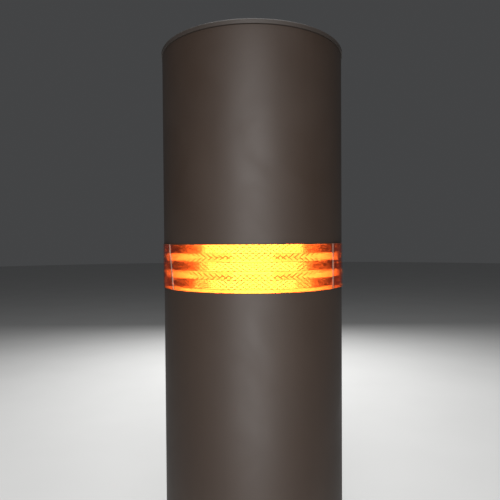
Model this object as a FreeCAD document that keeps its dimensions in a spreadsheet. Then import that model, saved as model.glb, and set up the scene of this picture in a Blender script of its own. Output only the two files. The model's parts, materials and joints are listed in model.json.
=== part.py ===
"""Tubular driveway snow marker: a capped tube with a reflective band, clamped in a bolted-down socket.

Origin at the bottom centre of the ground pad, +Z up, -Y is the side that faces the driveway.
All lengths are in millimetres and all angles in degrees.
"""
import FreeCAD, Part
import math
import os

import Sketcher
from FreeCAD import Placement, Rotation, Vector

# Driving dimensions: alias, value, what it is.
DIMENSIONS = [
    ("overall_height", 914.4, "ground to the top of the cap"),
    ("tube_radius", 109.55, "outside radius of the tube"),
    ("tube_wall", 5.0, "wall of the tube"),
    ("tube_chamfer", 0.8, "broken edge at both ends of the tube"),
    ("ground_pad_thickness", 3.0, "rubber pad under the flange"),
    ("flange_radius", 180.0, "outside radius of the base flange and its pad"),
    ("flange_thickness", 12.0, "base flange"),
    ("flange_bevel", 4.0, "bevel round the top of the flange"),
    ("drain_radius", 15.0, "drain hole in the middle of the floor"),
    ("floor_thickness", 7.0, "socket floor"),
    ("collar_height", 100.0, "collar above the flange"),
    ("collar_wall", 11.5, "wall of the collar"),
    ("collar_lead_in", 2.0, "chamfer at the mouth of the collar"),
    ("collar_root_fillet", 5.0, "fillet between collar and flange"),
    ("collar_rim_fillet", 2.0, "rounding of the collar's outer rim"),
    ("socket_clearance", 0.95, "radial gap between tube and collar"),
    ("rib_count", 6, "ribs between collar and flange"),
    ("rib_thickness", 6.0, "rib"),
    ("rib_height", 64.0, "rib above the flange"),
    ("rib_reach", 46.0, "how far a rib runs out from the collar"),
    ("rib_toe", 2.0, "height of a rib at its outer end"),
    ("seat_thickness", 3.0, "rubber ring that the tube stands on"),
    ("seat_outer_radius", 109.8, "outside radius of that ring"),
    ("seat_inner_radius", 100.0, "inside radius of that ring"),
    ("anchor_count", 3, "anchor bolts"),
    ("anchor_circle_radius", 150.0, "radius of the anchor bolt circle"),
    ("anchor_hole_radius", 5.5, "clearance hole for an M10 anchor"),
    ("ferrule_wall", 2.0, "steel sleeve round an anchor bolt"),
    ("first_clamp_angle", 90.0, "direction of the first clamp screw from +X"),
    ("clamp_count", 3, "clamp screws"),
    ("clamp_height", 75.0, "height of the clamp screws"),
    ("boss_radius", 16.0, "boss round a clamp screw"),
    ("boss_end", 142.0, "distance of the boss's face from the tube's axis"),
    ("boss_start", 115.0, "where the boss starts inside the collar wall"),
    ("clamp_pad_radius", 12.0, "clamp pad"),
    ("clamp_pad_thickness", 6.5, "clamp pad"),
    ("clamp_pad_gap", 0.3, "gap between pad and tube with the screw just home"),
    ("clamp_pad_bevel", 1.2, "bevel round a clamp pad"),
    ("pad_pocket_clearance", 1.0, "room round a clamp pad in the collar"),
    ("pad_pocket_floor", 122.5, "distance of the pad pocket's floor from the tube's axis"),
    ("insert_radius", 7.0, "threaded insert"),
    ("insert_flange_radius", 10.0, "flange of the insert"),
    ("insert_flange", 2.0, "thickness of that flange"),
    ("stud_radius", 4.0, "M8 clamp stud"),
    ("stud_end", 166.0, "distance of the stud's outer end from the tube's axis"),
    ("stud_bevel", 0.6, "bevel at the stud's ends"),
    ("stud_tip_radius", 3.0, "tip that turns in the clamp pad"),
    ("tip_depth", 4.0, "depth of the tip's hole in the clamp pad"),
    ("running_clearance", 0.05, "radial clearance of a running fit"),
    ("end_clearance", 0.1, "axial clearance between stud and pad"),
    ("knob_start", 148.0, "distance of the knob's inner face from the tube's axis"),
    ("knob_neck", 4.0, "length of the knob's neck"),
    ("knob_neck_radius", 11.0, "neck of the knob"),
    ("knob_radius", 22.0, "grip of the knob"),
    ("knob_length", 24.5, "knob, from inner face to crown"),
    ("knob_edge", 3.0, "bevel at both ends of the grip"),
    ("scallop_count", 6, "finger hollows round the knob"),
    ("scallop_radius", 7.0, "finger hollow"),
    ("scallop_circle_radius", 26.0, "radius of the circle of hollows"),
    ("cap_overhang", 1.05, "how far the cap's lip stands proud of the tube"),
    ("cap_lip", 5.0, "height of the cap's straight lip"),
    ("cap_rise", 9.0, "rise of the cap's dome above the lip"),
    ("cap_lip_fillet", 2.0, "rounding between lip and dome"),
    ("cap_wall", 4.0, "wall of the cap's dome and skirt"),
    ("cap_clearance", 0.9, "radial gap between skirt and tube"),
    ("skirt_length", 30.0, "skirt of the cap, inside the tube"),
    ("skirt_lead_in", 1.5, "chamfer at the skirt's lower edge"),
    ("groove_depth", 2.0, "o-ring groove"),
    ("groove_width", 3.4, "o-ring groove"),
    ("groove_drop", 14.0, "middle of the groove below the tube's top"),
    ("ring_section_radius", 1.29, "cord of the o-ring"),
    ("ring_lift", 0.02, "gap between o-ring and groove floor"),
    ("band_drop", 225.0, "top edge of the band below the tube's top"),
    ("band_width", 50.8, "width of the reflective tape"),
    ("adhesive_thickness", 0.18, "adhesive under the tape"),
    ("backing_thickness", 0.12, "seal film of the tape"),
    ("prism_thickness", 0.7, "prismatic film of the tape"),
    ("front_seam_left", 214.0, "left end of the rear strip, lapped over the front strip"),
    ("front_seam_right", -36.0, "right end of the rear strip, lapped over the front strip"),
    ("lap_angle", 13.0, "how far the rear strip laps over each end of the front strip"),
    ("lap_ramp", 4.0, "angle in which the rear strip steps up onto the front strip"),
    ("lap_gap", 1.0, "angle between the step and the front strip's end"),
    ("left_slant", 4.8, "half the slant of the left cut end"),
    ("trim_allowance", 2.7, "angle left on a lapped end for the slanted cut"),
    ("trim_width", 14.0, "how far the tool that cuts this end reaches past its middle"),
    ("trim_overrun", 0.1, "how far that tool passes the band's edges, as a share of its width"),
    ("trim_depth", 60.0, "depth of that tool"),
    ("trim_start", 140.0, "distance of that tool's face from the tube's axis"),
]

# Heights and radii that follow from the driving dimensions.
FLANGE_TOP = "ground_pad_thickness + flange_thickness"
FLOOR_TOP = "ground_pad_thickness + floor_thickness"
SEAT_TOP = f"{FLOOR_TOP} + seat_thickness"
COLLAR_TOP = f"{FLANGE_TOP} + collar_height"
TUBE_TOP = "overall_height - cap_lip - cap_rise"
TUBE_BORE = "tube_radius - tube_wall"
SOCKET_BORE = "tube_radius + socket_clearance"
COLLAR_RADIUS = f"{SOCKET_BORE} + collar_wall"
FERRULE_RADIUS = "anchor_hole_radius + ferrule_wall"
CLAMP_PAD_FRONT = "tube_radius + clamp_pad_gap"
CLAMP_PAD_BACK = f"{CLAMP_PAD_FRONT} + clamp_pad_thickness"
CAP_RADIUS = "tube_radius + cap_overhang"
SKIRT_RADIUS = f"{TUBE_BORE} - cap_clearance"
SKIRT_BORE = f"{SKIRT_RADIUS} - cap_wall"
GROOVE_RADIUS = f"{SKIRT_RADIUS} - groove_depth"
DOME_RADIUS = f"(({CAP_RADIUS}) * ({CAP_RADIUS}) + cap_rise * cap_rise) / (2 * cap_rise)"
DOME_BASE = f"{TUBE_TOP} + cap_lip"
BAND_TOP = f"{TUBE_TOP} - band_drop"
BAND_BOTTOM = f"{BAND_TOP} - band_width"
STRIP_THICKNESS = "adhesive_thickness + backing_thickness + prism_thickness"

doc = FreeCAD.newDocument("SnowMarker")
sheet = doc.addObject("Spreadsheet::Sheet", "Dimensions")
parts = []


# ---------------------------------------------------------------- sheet and expressions

def fill_sheet():
    """Write each driving dimension into the sheet: its meaning, its value and its alias."""
    for row, (alias, value, meaning) in enumerate(DIMENSIONS, start=1):
        sheet.set(f"A{row}", meaning)
        sheet.set(f"B{row}", str(value))
        sheet.setAlias(f"B{row}", alias)
    doc.recompute()


def value(expression):
    """The number that an expression of sheet aliases gives now."""
    return float(sheet.evalExpression(expression))


def bound(expression):
    """The same expression as another object has to write it, with the sheet's name before each alias."""
    words = []
    word = ""
    for letter in expression + " ":
        if letter.isalnum() or letter == "_":
            word += letter
            continue
        words.append(f"{sheet.Name}.{word}" if word in ALIASES else word)
        words.append(letter)
        word = ""
    return "".join(words).strip()


ALIASES = {alias for alias, _, _ in DIMENSIONS}


def bind(item, path, expression):
    item.setExpression(path, bound(expression))


# ---------------------------------------------------------------- bodies, sketches and features

def new_body(label):
    body = doc.addObject("PartDesign::Body", label)
    body.Label = label
    parts.append(body)
    return body


def new_sketch(body, name, role, offset=None):
    """A sketch on one of the body's origin planes, moved along the plane's normal by offset."""
    sketch = body.newObject("Sketcher::SketchObject", f"{body.Name}_{name}")
    plane = next(item for item in body.Origin.OriginFeatures if item.Role == role)
    sketch.AttachmentSupport = (plane, [""])
    sketch.MapMode = "FlatFace"
    if offset is not None:
        bind(sketch, "AttachmentOffset.Base.z", offset)
    return sketch


def fix_number(sketch, constraint, expression):
    """Add a dimension to a sketch and bind it to its expression."""
    index = sketch.addConstraint(constraint)
    if expression != "0":
        bind(sketch, f"Constraints[{index}]", expression)


def arc_between(start, end, radius, turn):
    """The arc of under half a turn from start to end: turn is 1 anticlockwise and -1 clockwise."""
    chord = end - start
    middle = (start + end) * 0.5
    rise = math.sqrt(radius ** 2 - (chord.Length / 2) ** 2)
    centre = middle + Vector(-chord.y, chord.x, 0).normalize() * rise * turn
    first, last = (start, end) if turn > 0 else (end, start)
    first_angle = math.atan2(first.y - centre.y, first.x - centre.x)
    last_angle = math.atan2(last.y - centre.y, last.x - centre.x)
    if last_angle < first_angle:
        last_angle += 2 * math.pi
    return Part.ArcOfCircle(Part.Circle(centre, Vector(0, 0, 1), radius), first_angle, last_angle)


def add_outline(sketch, corners):
    """A closed outline. A corner is (x, y), or (x, y, radius, turn) when an arc leaves it."""
    points = [Vector(value(corner[0]), value(corner[1]), 0) for corner in corners]
    edges = []
    for index, corner in enumerate(corners):
        start = points[index]
        end = points[(index + 1) % len(points)]
        if len(corner) == 2:
            edge = sketch.addGeometry(Part.LineSegment(start, end))
            edges.append((edge, 1, 2))
            continue
        radius, turn = corner[2], corner[3]
        edge = sketch.addGeometry(arc_between(start, end, value(radius), turn))
        edges.append((edge, 1, 2) if turn > 0 else (edge, 2, 1))
        fix_number(sketch, Sketcher.Constraint("Radius", edge, value(radius)), radius)
    for index, (edge, first, _) in enumerate(edges):
        previous, _, last = edges[index - 1]
        sketch.addConstraint(Sketcher.Constraint("Coincident", previous, last, edge, first))
        point = points[index]
        fix_number(sketch, Sketcher.Constraint("DistanceX", -1, 1, edge, first, point.x), corners[index][0])
        fix_number(sketch, Sketcher.Constraint("DistanceY", -1, 1, edge, first, point.y), corners[index][1])


def add_circle(sketch, radius, x="0", y="0"):
    centre = Vector(value(x), value(y), 0)
    circle = sketch.addGeometry(Part.Circle(centre, Vector(0, 0, 1), value(radius)))
    fix_number(sketch, Sketcher.Constraint("Radius", circle, value(radius)), radius)
    fix_number(sketch, Sketcher.Constraint("DistanceX", -1, 1, circle, 3, centre.x), x)
    fix_number(sketch, Sketcher.Constraint("DistanceY", -1, 1, circle, 3, centre.y), y)


def polar(radius, angle):
    """The x and y expressions of a point given by radius and angle."""
    return f"({radius}) * cos({angle})", f"({radius}) * sin({angle})"


def revolve(body, name, corners):
    """A solid of revolution about the body's Z axis. Corners are (radius, height)."""
    sketch = new_sketch(body, f"{name}_profile", "XZ_Plane")
    add_outline(sketch, corners)
    feature = body.newObject("PartDesign::Revolution", f"{body.Name}_{name}")
    feature.Profile = sketch
    feature.ReferenceAxis = (sketch, ["V_Axis"])
    feature.Angle = 360
    doc.recompute()
    return feature


def pad(body, name, sketch, length, midplane=False):
    feature = body.newObject("PartDesign::Pad", f"{body.Name}_{name}")
    feature.Profile = sketch
    feature.SideType = "Symmetric" if midplane else "One side"
    bind(feature, "Length", length)
    doc.recompute()
    return feature


def pocket(body, name, sketch, length):
    """A cut from the sketch's plane against its normal, which has to take something away."""
    before = body.Shape.Volume
    feature = body.newObject("PartDesign::Pocket", f"{body.Name}_{name}")
    feature.Profile = sketch
    bind(feature, "Length", length)
    doc.recompute()
    if body.Shape.Volume >= before:
        raise RuntimeError(f"{feature.Name} cuts nothing")
    return feature


def polar_pattern(body, name, features, count):
    """Repeat features round the body's Z axis."""
    axis = next(item for item in body.Origin.OriginFeatures if item.Role == "Z_Axis")
    pattern = body.newObject("PartDesign::PolarPattern", f"{body.Name}_{name}")
    pattern.Originals = features
    pattern.Axis = (axis, [""])
    pattern.Angle = 360
    bind(pattern, "Occurrences", count)
    body.Tip = pattern
    doc.recompute()
    return pattern


def ring_edges(feature, radius, height):
    """Names of a feature's circular edges about Z at a given radius and height."""
    names = []
    for index, edge in enumerate(feature.Shape.Edges, start=1):
        if edge.Degenerated or not isinstance(edge.Curve, Part.Circle):
            continue
        same_radius = abs(edge.Curve.Radius - value(radius)) < 1e-6
        same_height = abs(edge.Curve.Center.z - value(height)) < 1e-6
        if same_radius and same_height:
            names.append(f"Edge{index}")
    return names


def round_edges(body, name, base, edges, radius):
    feature = body.newObject("PartDesign::Fillet", f"{body.Name}_{name}")
    feature.Base = (base, edges)
    bind(feature, "Radius", radius)
    doc.recompute()
    return feature


def bevel_edges(body, name, base, edges, size):
    feature = body.newObject("PartDesign::Chamfer", f"{body.Name}_{name}")
    feature.Base = (base, edges)
    bind(feature, "Size", size)
    doc.recompute()
    return feature


def ring(label, inner, outer, bottom, height):
    """A plain flat ring about Z."""
    body = new_body(label)
    sketch = new_sketch(body, "section", "XY_Plane", bottom)
    add_circle(sketch, inner)
    add_circle(sketch, outer)
    pad(body, "ring", sketch, height)
    return body


# ---------------------------------------------------------------- base

def make_base_socket():
    """Moulded flange and collar with ribs, clamp bosses and anchor holes. Clamps start at its +X."""
    body = new_body("base_socket")
    shell = revolve(body, "shell", [
        ("drain_radius", "ground_pad_thickness"),
        ("flange_radius", "ground_pad_thickness"),
        ("flange_radius", f"{FLANGE_TOP} - flange_bevel"),
        ("flange_radius - flange_bevel", FLANGE_TOP),
        (COLLAR_RADIUS, FLANGE_TOP),
        (COLLAR_RADIUS, COLLAR_TOP),
        (f"{SOCKET_BORE} + collar_lead_in", COLLAR_TOP),
        (SOCKET_BORE, f"{COLLAR_TOP} - collar_lead_in"),
        (SOCKET_BORE, FLOOR_TOP),
        ("drain_radius", FLOOR_TOP),
    ])
    root = ring_edges(shell, COLLAR_RADIUS, FLANGE_TOP)
    rooted = round_edges(body, "root", shell, root, "collar_root_fillet")
    round_edges(body, "rim", rooted, ring_edges(rooted, COLLAR_RADIUS, COLLAR_TOP), "collar_rim_fillet")

    # The first rib stands on +Y. Every rib is 30 degrees away from the nearest boss and anchor hole.
    rib_sketch = new_sketch(body, "rib_profile", "YZ_Plane")
    inside_wall = f"{COLLAR_RADIUS} - collar_wall / 2"
    inside_flange = f"{FLANGE_TOP} - flange_thickness / 2"
    add_outline(rib_sketch, [
        (inside_wall, inside_flange),
        (f"{COLLAR_RADIUS} + rib_reach", inside_flange),
        (f"{COLLAR_RADIUS} + rib_reach", f"{FLANGE_TOP} + rib_toe"),
        (COLLAR_RADIUS, f"{FLANGE_TOP} + rib_height"),
        (inside_wall, f"{FLANGE_TOP} + rib_height"),
    ])
    rib = pad(body, "rib", rib_sketch, "rib_thickness", midplane=True)
    polar_pattern(body, "ribs", [rib], "rib_count")

    boss_sketch = new_sketch(body, "boss_circle", "YZ_Plane", "boss_start")
    add_circle(boss_sketch, "boss_radius", y="clamp_height")
    boss = pad(body, "boss", boss_sketch, "boss_end - boss_start")
    polar_pattern(body, "bosses", [boss], "clamp_count")

    pad_sketch = new_sketch(body, "pad_circle", "YZ_Plane", "pad_pocket_floor")
    add_circle(pad_sketch, "clamp_pad_radius + pad_pocket_clearance", y="clamp_height")
    pad_pocket = pocket(body, "pad_pocket", pad_sketch, "pad_pocket_floor - tube_radius + tube_wall")
    insert_sketch = new_sketch(body, "insert_circle", "YZ_Plane", "boss_end + 1")
    add_circle(insert_sketch, "insert_radius", y="clamp_height")
    insert_bore = pocket(body, "insert_bore", insert_sketch, "boss_end + 1 - tube_radius")
    polar_pattern(body, "clamp_holes", [pad_pocket, insert_bore], "clamp_count")

    anchor_sketch = new_sketch(body, "anchor_circle", "XY_Plane", f"{FLANGE_TOP} + 1")
    add_circle(anchor_sketch, FERRULE_RADIUS, x="-anchor_circle_radius")
    anchor = pocket(body, "anchor_hole", anchor_sketch, "flange_thickness + 2")
    polar_pattern(body, "anchor_holes", [anchor], "anchor_count")
    body.Placement = Placement(Vector(), Rotation(Vector(0, 0, 1), value("first_clamp_angle")))
    return body


def make_ground_pad():
    """Rubber disc under the flange, with the drain and the anchor sleeves through it."""
    body = new_body("ground_pad")
    sketch = new_sketch(body, "section", "XY_Plane")
    add_circle(sketch, "flange_radius")
    add_circle(sketch, "drain_radius")
    pad(body, "disc", sketch, "ground_pad_thickness")
    hole_sketch = new_sketch(body, "anchor_circle", "XY_Plane", "ground_pad_thickness + 1")
    add_circle(hole_sketch, FERRULE_RADIUS, x="-anchor_circle_radius")
    hole = pocket(body, "anchor_hole", hole_sketch, "ground_pad_thickness + 2")
    polar_pattern(body, "anchor_holes", [hole], "anchor_count")
    body.Placement = Placement(Vector(), Rotation(Vector(0, 0, 1), value("first_clamp_angle")))
    return body


def make_anchor_ferrule(number):
    """Steel sleeve that carries one anchor bolt's load past the plastic and the rubber."""
    body = ring(f"anchor_ferrule_{number}", "anchor_hole_radius", FERRULE_RADIUS, "0", FLANGE_TOP)
    angle = math.radians(value(f"first_clamp_angle + 180 + {number - 1} * 360 / anchor_count"))
    reach = value("anchor_circle_radius")
    body.Placement = Placement(Vector(reach * math.cos(angle), reach * math.sin(angle), 0), Rotation())
    return body


# ---------------------------------------------------------------- clamps

def clamp_placement(number):
    """A frame with +Z pointing out along a clamp screw and its origin on the tube's axis."""
    angle = value(f"first_clamp_angle + {number - 1} * 360 / clamp_count")
    outwards = Rotation(Vector(0, 0, 1), angle).multiply(Rotation(Vector(0, 1, 0), 90))
    return Placement(Vector(0, 0, value("clamp_height")), outwards)


def make_clamp_pad(number):
    """Swivel pad on the screw's tip, which presses on the tube."""
    body = new_body(f"clamp_pad_{number}")
    hole = "stud_tip_radius + running_clearance"
    revolve(body, "disc", [
        ("0", CLAMP_PAD_FRONT),
        ("clamp_pad_radius - clamp_pad_bevel", CLAMP_PAD_FRONT),
        ("clamp_pad_radius", f"{CLAMP_PAD_FRONT} + clamp_pad_bevel"),
        ("clamp_pad_radius", CLAMP_PAD_BACK),
        (hole, CLAMP_PAD_BACK),
        (hole, f"{CLAMP_PAD_BACK} - tip_depth"),
        ("0", f"{CLAMP_PAD_BACK} - tip_depth"),
    ])
    body.Placement = clamp_placement(number)
    return body


def make_clamp_insert(number):
    """Flanged brass insert pressed into the boss, with the screw's thread in it."""
    body = new_body(f"clamp_insert_{number}")
    bore = "stud_radius + running_clearance"
    revolve(body, "sleeve", [
        (bore, "pad_pocket_floor"),
        ("insert_radius", "pad_pocket_floor"),
        ("insert_radius", "boss_end"),
        ("insert_flange_radius", "boss_end"),
        ("insert_flange_radius", "boss_end + insert_flange"),
        (bore, "boss_end + insert_flange"),
    ])
    body.Placement = clamp_placement(number)
    return body


def make_clamp_stud(number):
    """M8 stud with a plain tip that turns in the pad."""
    body = new_body(f"clamp_stud_{number}")
    tip_end = f"{CLAMP_PAD_BACK} - tip_depth + end_clearance"
    shoulder = f"{CLAMP_PAD_BACK} + end_clearance"
    revolve(body, "rod", [
        ("0", tip_end),
        ("stud_tip_radius - stud_bevel", tip_end),
        ("stud_tip_radius", f"{tip_end} + stud_bevel"),
        ("stud_tip_radius", shoulder),
        ("stud_radius - stud_bevel", shoulder),
        ("stud_radius", f"{shoulder} + stud_bevel"),
        ("stud_radius", "stud_end"),
        ("0", "stud_end"),
    ])
    body.Placement = clamp_placement(number)
    return body


def make_clamp_knob(number):
    """Moulded knob with finger hollows, moulded onto the stud's outer end."""
    body = new_body(f"clamp_knob_{number}")
    grip_start = "knob_start + knob_neck"
    crown = "knob_start + knob_length"
    revolve(body, "grip", [
        ("stud_radius", "knob_start"),
        ("knob_neck_radius", "knob_start"),
        ("knob_neck_radius", grip_start),
        ("knob_radius - knob_edge", grip_start),
        ("knob_radius", f"{grip_start} + knob_edge"),
        ("knob_radius", f"{crown} - 2 * knob_edge"),
        ("knob_radius - 1.5 * knob_edge", f"{crown} - knob_edge / 2"),
        ("knob_neck_radius", crown),
        ("0", crown),
        ("0", "stud_end"),
        ("stud_radius", "stud_end"),
    ])
    sketch = new_sketch(body, "scallop_circle", "XY_Plane", f"{crown} + 1")
    add_circle(sketch, "scallop_radius", x="scallop_circle_radius")
    scallop = pocket(body, "scallop", sketch, "knob_length + 2")
    polar_pattern(body, "scallops", [scallop], "scallop_count")
    body.Placement = clamp_placement(number)
    return body


# ---------------------------------------------------------------- tube and cap

def make_post_tube():
    body = ring("post_tube", TUBE_BORE, "tube_radius", SEAT_TOP, f"{TUBE_TOP} - ({SEAT_TOP})")
    tube = body.Tip
    ends = ring_edges(tube, "tube_radius", SEAT_TOP) + ring_edges(tube, "tube_radius", TUBE_TOP)
    bevel_edges(body, "ends", tube, ends, "tube_chamfer")
    return body


def make_top_cap():
    """Domed cap with a lip on the tube's rim and a skirt inside the tube, grooved for its o-ring."""
    body = new_body("top_cap")
    skirt_end = f"{TUBE_TOP} - skirt_length"
    groove_top = f"{TUBE_TOP} - groove_drop + groove_width / 2"
    groove_bottom = f"{TUBE_TOP} - groove_drop - groove_width / 2"
    under_radius = f"{DOME_RADIUS} - cap_wall"
    under_drop = f"sqrt(({under_radius}) * ({under_radius}) - ({SKIRT_BORE}) * ({SKIRT_BORE}))"
    under_edge = f"overall_height - ({DOME_RADIUS}) + {under_drop}"
    cap = revolve(body, "shell", [
        (SKIRT_RADIUS, TUBE_TOP),
        (CAP_RADIUS, TUBE_TOP),
        (CAP_RADIUS, DOME_BASE, DOME_RADIUS, 1),
        ("0", "overall_height"),
        ("0", "overall_height - cap_wall", under_radius, -1),
        (SKIRT_BORE, under_edge),
        (SKIRT_BORE, skirt_end),
        (f"{SKIRT_RADIUS} - skirt_lead_in", skirt_end),
        (SKIRT_RADIUS, f"{skirt_end} + skirt_lead_in"),
        (SKIRT_RADIUS, groove_bottom),
        (GROOVE_RADIUS, groove_bottom),
        (GROOVE_RADIUS, groove_top),
        (SKIRT_RADIUS, groove_top),
    ])
    round_edges(body, "lip", cap, ring_edges(cap, CAP_RADIUS, DOME_BASE), "cap_lip_fillet")
    return body


def make_cap_o_ring():
    torus = doc.addObject("Part::Torus", "cap_o_ring")
    torus.Label = "cap_o_ring"
    bind(torus, "Radius1", f"{GROOVE_RADIUS} + ring_lift + ring_section_radius")
    bind(torus, "Radius2", "ring_section_radius")
    bind(torus, "Placement.Base.z", f"{TUBE_TOP} - groove_drop")
    parts.append(torus)
    return torus


# ---------------------------------------------------------------- reflective band

def front_layer(label, inner, thickness):
    """One layer of the front strip, whose square ends lie under the rear strip's laps."""
    outer = f"{inner} + {thickness}"
    start = "front_seam_left - 360 - lap_angle"
    end = "front_seam_right + lap_angle"
    body = new_body(label)
    sketch = new_sketch(body, "section", "XY_Plane", BAND_BOTTOM)
    add_outline(sketch, [
        (*polar(outer, start), outer, 1),
        polar(outer, end),
        (*polar(inner, end), inner, -1),
        polar(inner, start),
    ])
    pad(body, "strip", sketch, "band_width")
    return body


def trim_left_end(body):
    """Cut the lapped end at the body's -Y side along a slanted line, whose top leans to -X."""
    low = f"{BAND_BOTTOM} - trim_overrun * band_width"
    high = f"{BAND_TOP} + trim_overrun * band_width"
    reach = "left_slant * (1 + 2 * trim_overrun)"
    sketch = new_sketch(body, "left_wedge", "XZ_Plane", "trim_start")
    add_outline(sketch, [(reach, low), ("trim_width", low), ("trim_width", high), (f"-{reach}", high)])
    pocket(body, "left_cut", sketch, "trim_depth")


def rear_layer(label, inner, thickness):
    """One layer of the rear strip, which steps up onto the front strip at both ends.

    The left end is drawn at -Y for its slanted cut, and the body is then turned into place.
    The right end is square.
    """
    outer = f"{inner} + {thickness}"
    step = f"{inner} + {STRIP_THICKNESS}"
    outer_step = f"{outer} + {STRIP_THICKNESS}"
    turn = "270 - front_seam_left"
    right_end = f"front_seam_right + {turn}"
    right_lap = f"{right_end} + lap_angle + lap_gap"
    right_foot = f"{right_lap} + lap_ramp"
    left_lap = "270 - lap_angle - lap_gap"
    left_foot = f"{left_lap} - lap_ramp"
    left_end = "270 + trim_allowance"
    middle = f"({right_foot} + {left_foot}) / 2"
    body = new_body(label)
    sketch = new_sketch(body, "section", "XY_Plane", BAND_BOTTOM)
    add_outline(sketch, [
        (*polar(outer_step, right_end), outer_step, 1),
        polar(outer_step, right_lap),
        (*polar(outer, right_foot), outer, 1),
        (*polar(outer, middle), outer, 1),
        polar(outer, left_foot),
        (*polar(outer_step, left_lap), outer_step, 1),
        polar(outer_step, left_end),
        (*polar(step, left_end), step, -1),
        polar(step, left_lap),
        (*polar(inner, left_foot), inner, -1),
        (*polar(inner, middle), inner, -1),
        polar(inner, right_foot),
        (*polar(step, right_lap), step, -1),
        polar(step, right_end),
    ])
    pad(body, "strip", sketch, "band_width")
    trim_left_end(body)
    body.Placement = Placement(Vector(), Rotation(Vector(0, 0, 1), -value(turn)))
    return body


def make_band():
    """Two strips of prismatic tape, each of adhesive, seal film and prismatic film."""
    inner = "tube_radius"
    layers = [("adhesive", "adhesive_thickness"), ("backing", "backing_thickness"), ("film", "prism_thickness")]
    for layer, thickness in layers:
        front_layer(f"front_band_{layer}", inner, thickness)
        rear_layer(f"rear_band_{layer}", inner, thickness)
        inner = f"{inner} + {thickness}"


# ---------------------------------------------------------------- checks and files

def check_document():
    """Stop if any object failed to compute, or any sub-part's shape is null or not valid."""
    for item in doc.Objects:
        if "Invalid" in item.State or "Error" in item.State:
            raise RuntimeError(f"{item.Name} failed: {item.State}")
    for item in parts:
        if item.Shape.isNull() or not item.Shape.isValid():
            raise RuntimeError(f"{item.Label} has no valid shape")


def write_parts():
    os.makedirs("parts", exist_ok=True)
    for item in parts:
        item.Shape.exportStep(f"parts/{item.Label}.step")
        box = item.Shape.BoundBox
        print(f"{item.Label:20s} {len(item.Shape.Solids)} solid, {item.Shape.Volume / 1000:9.2f} cm3, "
              f"z {box.ZMin:7.2f} to {box.ZMax:7.2f}")


def main():
    fill_sheet()
    make_base_socket()
    make_ground_pad()
    ring("tube_seat", "seat_inner_radius", "seat_outer_radius", FLOOR_TOP, "seat_thickness")
    for number in range(1, int(value("anchor_count")) + 1):
        make_anchor_ferrule(number)
    for number in range(1, int(value("clamp_count")) + 1):
        make_clamp_pad(number)
        make_clamp_insert(number)
        make_clamp_stud(number)
        make_clamp_knob(number)
    make_post_tube()
    make_band()
    make_top_cap()
    make_cap_o_ring()
    doc.recompute()
    check_document()
    write_parts()


main()
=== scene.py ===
"""Looks of a tubular driveway snow marker: prismatic reflective tape, moulded plastic, rubber and metal.

The frame holds the tube, the cap, the socket and the clamps at their real size. This file adds the tape's
prisms, the screw threads, the knobs and the rounded mouldings, and gives every part its finish.
"""
import json
import math

import bmesh
import bpy
from bpy.props import FloatProperty, FloatVectorProperty, IntProperty, PointerProperty
from bpy.types import Operator, Panel, PropertyGroup
from mathutils import Matrix, Vector


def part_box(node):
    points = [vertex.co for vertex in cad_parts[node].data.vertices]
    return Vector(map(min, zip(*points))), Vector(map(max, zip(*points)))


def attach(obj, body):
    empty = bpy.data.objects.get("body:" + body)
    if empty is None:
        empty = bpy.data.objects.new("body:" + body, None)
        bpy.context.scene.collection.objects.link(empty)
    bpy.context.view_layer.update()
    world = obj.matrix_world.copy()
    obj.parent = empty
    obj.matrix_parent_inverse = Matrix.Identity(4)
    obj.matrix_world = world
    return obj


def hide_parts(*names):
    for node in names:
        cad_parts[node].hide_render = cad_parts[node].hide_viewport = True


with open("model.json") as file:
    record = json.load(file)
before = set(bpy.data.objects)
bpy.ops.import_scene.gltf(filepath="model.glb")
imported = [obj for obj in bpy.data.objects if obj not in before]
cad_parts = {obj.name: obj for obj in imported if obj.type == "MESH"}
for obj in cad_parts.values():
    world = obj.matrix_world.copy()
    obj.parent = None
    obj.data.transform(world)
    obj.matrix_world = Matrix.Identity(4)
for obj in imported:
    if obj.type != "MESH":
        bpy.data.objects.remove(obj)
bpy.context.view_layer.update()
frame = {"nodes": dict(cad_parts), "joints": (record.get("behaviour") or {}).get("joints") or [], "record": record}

bl_info = {
    "name": "Driveway Snow Marker",
    "version": (1, 0, 0),
    "blender": (4, 5, 0),
    "location": "3D View > Sidebar > Snow Marker",
    "description": "Finishes a tubular snow marker: prismatic tape, plastic, rubber and metal",
    "category": "Object",
}

MM = 0.001
FRONT = -math.pi / 2
BACK = math.pi / 2

SAME_PLACE = 0.002 * MM  # points of a CAD mesh that are one point
NEAR = 0.05 * MM  # less than the thinnest layer of the tape
SHARP_CORNER = math.radians(32)
FILM_CORNER = math.radians(30)
THREAD_CORNER = math.radians(50)
EDGE_PACE = 2 * MM  # between points along the film's edges and face
FACE_ROWS = 12
PRISM_TINT = (0.93, 0.66, 0.50)
STUD_TIP = 4.05 * MM  # plain end inside the pad
STUD_TIP_CHAMFER = 0.6 * MM
STUD_TIP_SHARE = 0.75  # of the stud's radius
THREAD_DEPTH_SHARE = 0.61  # of the pitch
THREAD_CORNERS = 24  # points round the thread
THREAD_LEVELS = 6  # rings of points in one turn
KNOB_LOBES = 6
HOLLOW_SHARE = 0.318  # a finger hollow's radius, of the knob's
HOLLOW_PLACE_SHARE = 1.182  # its centre's distance from the axis, of the knob's radius


# ---------------------------------------------------------------- settings

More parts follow.
